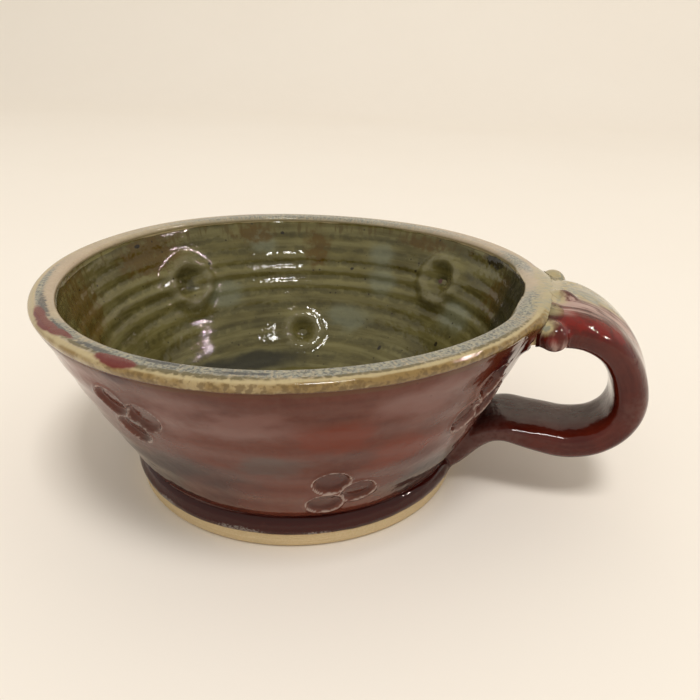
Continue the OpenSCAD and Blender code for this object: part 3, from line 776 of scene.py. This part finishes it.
def flow_together(a, b, k):
    """Soft union of two distances with their directions: the smaller less (k - |a - b|) squared over 4 k."""
    (a, ga), (b, gb) = a, b
    h = np.clip(k - np.abs(a - b), 0, None) / k
    first = np.where(a < b, 1 - h / 2, h / 2)[:, None]
    return np.minimum(a, b) - k * h * h / 4, first * ga + (1 - first) * gb


def melt(points, own, raised):
    """Moves the points of one part that lie close to another onto the surface in which glazed strap, bowl and
    pellets flow into each other, by Newton steps along its slope. Points deep in another part stay."""
    flat = points.reshape(-1, 3).copy()
    near = (flat[:, 0] > joint_x) & (np.abs(flat[:, 1]) < joint_y)
    p = flat[near]
    raised = np.broadcast_to(raised, points.shape[:-1]).reshape(-1)[near]

    def parts(p):
        found = {"strap": strap_gap(p), "bowl": bowl_gap(p)}
        for name, (centre, radius) in balls.items():
            away = p - np.array(centre)
            far = np.linalg.norm(away, axis=1) + tiny
            found[name] = (far - radius, away / far[:, None])
        return found

    found = parts(p)
    others = np.min([gap for name, (gap, _) in found.items() if name != own], axis=0)
    moving = (others > -melt_deep) & (others < melt_far)
    q, raised = p[moving], raised[moving]
    for _ in range(melt_steps):
        found = parts(q)
        root = tail_root + (lip_root - tail_root) * ease(tail_top, lip_bottom, q[:, 2])
        whole = flow_together(found["strap"], found["bowl"], root)
        for name in balls:
            whole = flow_together(whole, found[name], pellet_root)
        value, slope = whole
        step = (value - raised) / np.clip((slope ** 2).sum(1), least_slope, None)
        q = q - slope * np.clip(step, -longest_step, longest_step)[:, None]
    p[moving] = q
    flat[near] = p
    return flat.reshape(points.shape)


# Glossy oxblood: red brown where thin, a mauve bloom where it settled thick, rust over iron, darkest in the groove,
# with painted shade low on the wall and a painted reflection on the presses' pale outlines
oxblood, tree = new_material("oxblood_copper_red")
place = put(tree, "ShaderNodeTexCoord", {}).outputs["Object"]
flow = put(tree, "ShaderNodeAttribute", {}, attribute_name="flow").outputs["Vector"]
broad = clouds(tree, place, 22, 0.35, 0.65, longer=(1.8, 1.8, 1))
cloudy = clouds(tree, place, 8, 0.3, 0.7, longer=(1.8, 1.8, 1), detail=4.0)
fine = clouds(tree, place, 2.2, 0.25, 0.75, detail=5.0)
grainy = clouds(tree, place, 0.6, 0.3, 0.7, detail=4.0)
falls = clouds(tree, flow, 1.7, 0.45, 0.75, longer=(1, 1, 9))
turns = clouds(tree, flow, 1.6, 0.4, 0.7, longer=(16, 16, 1))
tone = layers(
    tree, "#502010", (broad, 0.8, "#672f1e"), (cloudy, 0.4, "#6e3f30"), (fine, 0.15, "#745042"),
    (falls, 0.06, "#7a5147"), (turns, 0.16, "#39120b"),
    (torn(tree, "mauve", cloudy, 0.5, 0.15, 1.0), 0.75, "#7b5750"),
    (torn(tree, "rust", cloudy, 0.6, 0.05, 0.9), 0.95, "#692404"),
    (torn(tree, "dip", fine, 0.4, 0.2, 1.0), 0.6, "#3d160e"),
    (torn(tree, "grey", cloudy, 0.6, 0.15, 1.2), 0.75, "#554843"),
    # painted shade: darker brown low on the wall towards the foot
    (torn(tree, "painted_low_shade", cloudy, 0.5, 0.1, 0.9), 0.95, "#30150b"),
    (torn(tree, "ochre", cloudy, 0.5, 0.2, 1.0), 0.7, "#5b3c22"),
    (torn(tree, "wine", fine, 0.4, 0.3, 0.7), 0.95, "#3b0906"),
    (torn(tree, "pool", fine, 0.3, 0.3, 0.8), 0.95, "#360803"),
    (torn(tree, "lilac", grainy, 0.8, 0.35, 0.95), 0.75, "#8c847e"),
    # the presses' pale outlines: glaze thin on their edges, with a painted reflection
    (torn(tree, "edge", fine, 0.4, 0.3, 0.9), 0.75, "#b3a096"),
    (torn(tree, "hem", grainy, 0.5, 0.2, 0.9), 0.8, "#5d3b24"),
    (specks(tree, place, 2.6, 0.25, 0.13), 0.5, "#2a0d08"),
)
finish(tree, tone, 0.08, [(clouds(tree, place, 13, 0.2, 0.8), 0.00022), (fine, 0.00001)], shine=0.3)

# The columns stand closer at the stamps and at the handle: each tenth of a degree adds its share of a column
pace = np.full(3600, plain_pace)
degrees = np.arange(3600) / 10
for angle, *_ in stamps:
    pace[np.abs(off_by(degrees, angle)) < stamp_half] = stamp_pace
pace[np.abs(off_by(degrees, 0)) < handle_half] = handle_pace
columns_run = np.concatenate([[0], np.cumsum(0.1 / pace)])
count = int(columns_run[-1])
angles = np.radians(np.interp(columns_run[-1] * np.arange(count) / count, columns_run, np.arange(3601) / 10))
band_run = run_at(band_h, False) + wander(angles, 5, 0.28)[None, :]
rim_run = outer_edge(angles)
share = stretches([0, 0.03, 0.14, 1], [7, 26, 100])
runs = band_run + (rim_run + run_on - band_run) * share[:, None]
lift = coat_lift(runs, band_run, np.inf, 1.0) - thin_top * ease(-0.4, 0.7, runs - rim_run)
lift = lift + hem_swell * np.exp(-(runs - band_run - hem_up) ** 2)
front, marks = bowl_points(angles, runs, lift)
heights = np.interp(runs, section_run, section[:, 1])
marks["mauve"] = daubs(angles, heights, [
    (212, 50, 16, 12), (232, 34, 12, 9), (268, 49, 20, 7), (312, 52, 12, 6), (292, 17, 8, 5), (335, 30, 14, 12),
    (160, 40, 16, 12), (100, 46, 22, 9), (60, 30, 14, 12), (25, 46, 12, 9), (130, 22, 14, 7),
])
left_stamp = daubs(angles, heights, [(251, 44.5, 12, 11)])  # its presses are faint
marks["dip"] *= 1 - 0.75 * left_stamp
marks["edge"] *= 1 - 0.4 * left_stamp
marks["rust"] = daubs(angles, heights, [
    (295, 43, 10, 6), (258, 18, 16, 6), (310, 35, 11, 6), (240, 53, 9, 5), (345, 20, 9, 6),
    (180, 24, 14, 7), (80, 20, 12, 6), (120, 50, 10, 7), (30, 18, 9, 6),
])
marks["grey"] = daubs(angles, heights, [
    (253, 43, 7, 9), (279, 33, 12, 6), (254, 33, 8, 5), (225, 23, 14, 8), (248, 24, 14, 5), (322, 24, 12, 6),
    (140, 44, 12, 9), (55, 50, 12, 7),
])
# Painted shade low on the wall towards the foot, standing in for the shadowed floor that it mirrors
marks["painted_low_shade"] = daubs(angles, heights, [
    (228, 24, 12, 10), (246, 21, 30, 13), (330, 17, 20, 8), (180, 18, 30, 8), (90, 18, 40, 7),
])
marks["wine"] = daubs(angles, heights, [
    (336, 54, 9, 4.2), (343, 44, 4, 9), (226, 57.5, 7, 3), (254, 58.5, 4, 2), (345, 50, 4, 7), (10, 30, 14, 10),
    (350, 30, 8, 8), (18, 56, 10, 4), (150, 57, 9, 3), (90, 58, 8, 2.5),
])
marks["ochre"] = ease(57.6, 59.0, heights)
marks["pool"] = ease(12.3, 9.9, heights)
marks["lilac"] = daubs(angles, heights, [(240, 5.4, 5, 1.5), (268, 5.0, 9, 1.6), (292, 4.9, 5, 1.0), (120, 6, 12, 2)])
marks["hem"] = np.exp(-(runs - band_run) / hem_fade)
every = 16
back_runs = runs[::-every]
back, _ = bowl_points(angles, back_runs, coat_back - outside_sunk * near_stamps(angles, back_runs))
points = np.concatenate([melt(front, "bowl", 0.0), back])
marks = {name: np.concatenate([values, values[::-every]]) for name, values in marks.items()}
piece = skin("oxblood_outside", sway(points), True, [], oxblood, marks)
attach(piece, "root"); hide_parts("outside_glaze")

# ---------------------------------------------------------------------------
# The rim coat: pale rutile glaze from a second dip of the lip, laid over the red
# outside and the green inside, with blue-grey grains where it lies thick.
# ---------------------------------------------------------------------------
rim_bed, rim_rise, rim_soft = 0.22, 0.28, 0.45  # its height over the clay at an edge, what it rises, and over what

# Glossy rutile: cream and blush, slate grains combed across the flat of the lip, honey and tan where it thins outside,
# green over the liner, and specks and wine spots of the red coat under it
rutile, tree = new_material("cream_rutile_rim")
place = put(tree, "ShaderNodeTexCoord", {}).outputs["Object"]
flow = put(tree, "ShaderNodeAttribute", {}, attribute_name="flow").outputs["Vector"]
soft = clouds(tree, place, 7, 0.35, 0.65, detail=4.0)
grainy = clouds(tree, place, 0.7, 0.35, 0.65, detail=5.0)
fine = clouds(tree, place, 1.3, 0.3, 0.7, detail=5.0)
combed = clouds(tree, flow, 0.55, 0.35, 0.68, longer=(1, 1, 4), detail=5.0)
tone = layers(
    tree, "#b09f80", (soft, 0.6, "#9c8c70"), (combed, 0.35, "#c0af93"), (grainy, 0.3, "#8f8268"),
    (torn(tree, "blush", fine, 0.5, 0.1, 1.0), 0.5, "#b39b87"),
    (torn(tree, "slate", combed, 0.45, 0.08, 0.9), 0.85, "#7b7f76"),
    (torn(tree, "slate", grainy, 0.8, 0.45, 1.5), 0.75, "#444a4a"),
    (torn(tree, "slate", fine, 0.9, 0.8, 1.6), 0.5, "#aba48a"),
    (torn(tree, "cream", combed, 0.4, 0.1, 1.0), 0.6, "#b5a374"),
    (torn(tree, "honey", soft, 0.5, 0.1, 0.9), 0.9, "#7f6432"),
    (torn(tree, "honey", fine, 0.8, 0.6, 1.5), 0.7, "#5f4926"),
    (torn(tree, "tan", grainy, 0.3, 0.2, 0.9), 0.9, "#5a3a1c"),
    (torn(tree, "green", combed, 0.5, 0.2, 0.9), 0.9, "#5c5330"),
    (torn(tree, "olive", fine, 0.5, 0.1, 0.8), 0.85, "#4f4624"),
    (torn(tree, "navy", fine, 0.5, 0.15, 0.8), 0.85, "#2f3439"),
    (torn(tree, "wine", soft, 0.4, 0.2, 0.5), 0.95, "#600407"),
    (torn(tree, "over_strap", fine, 0.5, 0.15, 0.8), 0.85, "#a3966f"),
    (torn(tree, "over_strap", combed, 0.7, 0.6, 1.3), 0.6, "#85877a"),
    (specks(tree, place, 1.8, 0.25, 0.2), 0.5, "#6a5a3a"),
)
finish(tree, tone, 0.075, [(combed, 0.000006), (grainy, 0.000006), (clouds(tree, place, 7, 0.2, 0.8), 0.00007)])

angles = even_angles(900)
low_run, lap_run = outer_edge(angles), inner_edge(angles)
share = stretches([0, 0.06, 0.94, 1], [6, 48, 6])
runs = low_run + (lap_run - low_run) * share[:, None]
front, marks = bowl_points(angles, runs, rim_bed + rim_rise / glaze_t * coat_lift(runs, low_run, lap_run, rim_soft))
level = runs - top_run  # length over the lip: the flat top runs from 0 to about 4, and the outside is below 0
marks["slate"] = daubs(angles, level, [
    (208, -0.8, 16, 1.3), (236, 0.9, 8, 2.0), (262, 0.9, 22, 3.2), (292, 0.9, 26, 3.2), (325, 0.9, 24, 3.2),
    (348, 1.0, 12, 3.0), (100, 1, 60, 2.4), (22, 1.2, 14, 2.0),
]) * ease(-1.9, -1.1, level)
marks["cream"] = ease(2.6, 3.6, level) + ease(-1.5, -1.9, level)
marks["honey"] = ease(-2.2, -3.1, level) * (1 - 0.7 * daubs(angles, level, [(220, -3, 35, 9)]))
marks["tan"] = ease(0.9, 0.1, runs - low_run)
marks["green"] = ease(3.9, 5.2, level)
marks["navy"] = daubs(angles, level, [
    (220, 0.3, 8, 1.1), (233, 0.6, 6, 0.6), (247, 0.2, 6, 0.9), (262, 1.6, 5, 0.8), (278, 0.4, 6, 0.7),
    (32, 5.0, 3.5, 1.2),
])
marks["olive"] = daubs(angles, level, [
    (243, -0.9, 9, 0.6), (268, -1.5, 17, 0.8), (300, -1.5, 16, 0.5), (328, -1.6, 14, 0.5),
])
marks["blush"] = daubs(angles, level, [(200, 1.5, 30, 4), (45, 0, 30, 6), (10, 0, 20, 5)])
marks["wine"] = daubs(angles, level, [
    (229, -1.1, 7.5, 1.4), (238, 0.0, 3.0, 0.8), (254, -1.6, 4.5, 1.5), (120, -2, 5, 1), (20, -3, 5, 1.2),
])
marks["over_strap"] = daubs(angles, level, [
    (-9, -2.6, 6, 3.4), (0, -2.2, 7, 3.6), (8, -2.2, 7, 3.6), (13, -2.8, 5, 3.0),
])
every = 8
back, _ = bowl_points(angles, runs[::-every], coat_back)
points = np.concatenate([melt(front, "bowl", 0.0), back])
marks = {name: np.concatenate([values, values[::-every]]) for name, values in marks.items()}
piece = skin("rutile_rim", sway(points), True, [], rutile, marks)
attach(piece, "root"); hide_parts("rim_glaze")

# ---------------------------------------------------------------------------
# The handle's coat: the same red, run over by cream and lilac from the lip. It
# covers the strap and the pellets, and flows into the coats of the bowl.
# ---------------------------------------------------------------------------
edge_sunk, edge_rise = -0.14, 0.18  # the strap's coat starts under the bowl's coats and rises over them
pellet_raised = 0.07  # the pellets' coat stands out of the strap's
root_in, tuck_rows = 3.5, 2.5  # the strap's coat starts this far inside the lip's radius, and so many rows early
patch_soft, wrap_r = 1.3, 0.02  # softness of a patch's edge, and metres of the circle on which the runs are laid out
colour_runs = {  # patches on the handle's top and its pellets: their middle and radius
    "cream": [
        (71, -14, 62, 3.2), (72, -6, 63, 4.5), (72, 2, 63, 5), (73, 9, 63, 6), (76, 15, 61, 6), (77, 3, 63, 4),
        (80, 2, 62, 4), (80, 9, 62, 5), (80, 15, 61, 5), (85, 7, 61, 4.6), (85, 13, 60, 4.5), (89, 9, 59, 4.4),
        (89, 14, 58, 3), (84, 1, 62, 4.2), (88, 3, 60, 3.8), (92, 4, 58, 3.4), (93, 9, 56, 4.2), (97, 8, 51, 3.7),
        (100, 8, 46, 2.9), (73, 20, 60, 6), (72.4, -20.5, 60, 2.2),
    ],
    "lilac": [
        (76.5, -9, 62, 4), (80, -7, 62, 4.4), (84, -6, 61, 4.4), (88, -4, 60, 4.2), (92, -2, 57, 4.2),
        (95, -3, 54, 4.2), (98, -3, 49, 5), (101, -1, 43, 4), (77, 5, 62, 3), (75, -21, 55, 2.5),
    ],
    "red": [
        (78, -18, 62, 3.2), (82, -17, 62, 3.2), (87, -15, 60, 3.2), (91, -12, 57, 2.6), (96, 3, 53, 2.2),
        (78, -13, 61, 2.2), (77, 6, 63, 1.2), (100, 3, 46, 3), (76.5, -19, 58.5, 2.0), (74, -22.5, 57, 1.4),
    ],
    "dark": [(97, 15, 50, 3.5), (94, 16, 54, 3.5), (101, 13, 44, 4), (72, -19, 53, 4)],
    "mauve": [(54, 0, 14, 13), (62, -10, 16, 9), (102, -6, 34, 6), (80, 0, 14, 10)],
}

# Glossy oxblood that the rim's cream has run over: lilac where the two mixed, bright red where it is thin
streaked, tree = new_material("oxblood_with_rutile_runs")
place = put(tree, "ShaderNodeTexCoord", {}).outputs["Object"]
flow = put(tree, "ShaderNodeAttribute", {}, attribute_name="flow").outputs["Vector"]
soft = clouds(tree, place, 8, 0.35, 0.65, detail=4.0)
fine = clouds(tree, place, 1.6, 0.3, 0.7, detail=5.0)
falls = clouds(tree, flow, 2.2, 0.36, 0.7, longer=(1, 1, 6), detail=4.0)
tone = layers(
    tree, "#430f07", (soft, 0.7, "#551b0f"), (falls, 0.10, "#74392b"),
    (torn(tree, "mauve", fine, 0.3, 0.2, 1.0), 0.7, "#5f3f38"),
    (torn(tree, "red", fine, 0.3, 0.2, 0.9), 0.9, "#711104"),
    (torn(tree, "lilac", falls, 0.5, 0.25, 1.0), 0.85, "#b3958a"),
    (torn(tree, "cream", falls, 0.3, 0.2, 0.75), 0.95, "#ab9c74"),
    (torn(tree, "cream", fine, 0.8, 0.6, 1.3), 0.7, "#74796f"),
    (torn(tree, "cream", soft, 0.8, 0.9, 1.5), 0.5, "#8d8f86"),
    (torn(tree, "by_lip", fine, 0.6, 0.15, 0.9), 0.7, "#ab9c78"),
    (torn(tree, "dark", fine, 0.3, 0.2, 0.9), 0.85, "#330b08"),
    (specks(tree, place, 2.4, 0.25, 0.13), 0.5, "#2a0d08"),
)
finish(tree, tone, 0.05, [(clouds(tree, place, 6, 0.2, 0.8), 0.00013)], shine=0.34)


def handle_marks(points):
    """Where each colour has run on the handle and its pellets: the highest of bell curves round its patches. Cream
    also covers the strap's start on the lip, and draws back from the front pellet."""
    marks = {
        name: np.max([
            np.exp(-((points - np.array(middle)) ** 2).sum(-1) / (patch_soft * radius) ** 2)
            for *middle, radius in patches
        ], axis=0)
        for name, patches in colour_runs.items()
    }
    x, y, z = points[..., 0], points[..., 1], points[..., 2]
    towards_pellet = np.clip(-y - 4, 0, 9)
    on_lip = ease(78, 74, x + 0.4 * towards_pellet) * ease(56, 60, z) * ease(17, 13, -y)
    marks["cream"] = np.maximum(marks["cream"], on_lip)
    marks["by_lip"] = on_lip
    return marks


# Each column of the coat runs from where the strap comes out of the bowl to where it goes in again
whole = strap_points(np.arange(len(spine))[:, None], c[None, :], s[None, :], 0.0)
clear = bowl_gap(whole.reshape(-1, 3))[0].reshape(whole.shape[:2]) > 0
first = np.argmax(clear & (spine[:, :1] > lip_r - root_in), axis=0) - tuck_rows
last = len(spine) - 1 - np.argmax(clear[::-1], axis=0) + tuck_rows
rows = first + (last - first) * np.linspace(0, 1, 300)[:, None]
raised = edge_sunk + edge_rise * ease(2, 16, rows - first)
front = melt(strap_points(rows, c[None, :], s[None, :], 0.0), "strap", raised)
every = 20
back = strap_points(rows[::-every], c[None, :], s[None, :], -glaze_t)
round_way = wrap_r * np.exp(2j * np.pi * part_round) * np.ones_like(rows)
marks = handle_marks(front)
marks["flow"] = np.stack([round_way.real, round_way.imag, rows * spine_step * mm], -1)
points = np.concatenate([front, back])
marks = {name: np.concatenate([values, values[::-every]]) for name, values in marks.items()}
piece = skin("oxblood_handle", sway(points), True, [], streaked, marks)
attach(piece, "root"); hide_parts("handle_glaze")
for name, (centre, radius) in balls.items():
    points = melt(ball_points(centre, radius, 60, 120), name, pellet_raised)
    ends = sway(np.array(centre) + np.array([[0, 0, -1.0], [0, 0, 1.0]]) * radius)
    marks = handle_marks(points)
    marks["flow"] = mm * points
    piece = skin(name + "_coat", sway(points), False, list(ends), streaked, marks)
    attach(piece, "root"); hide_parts("handle_glaze")
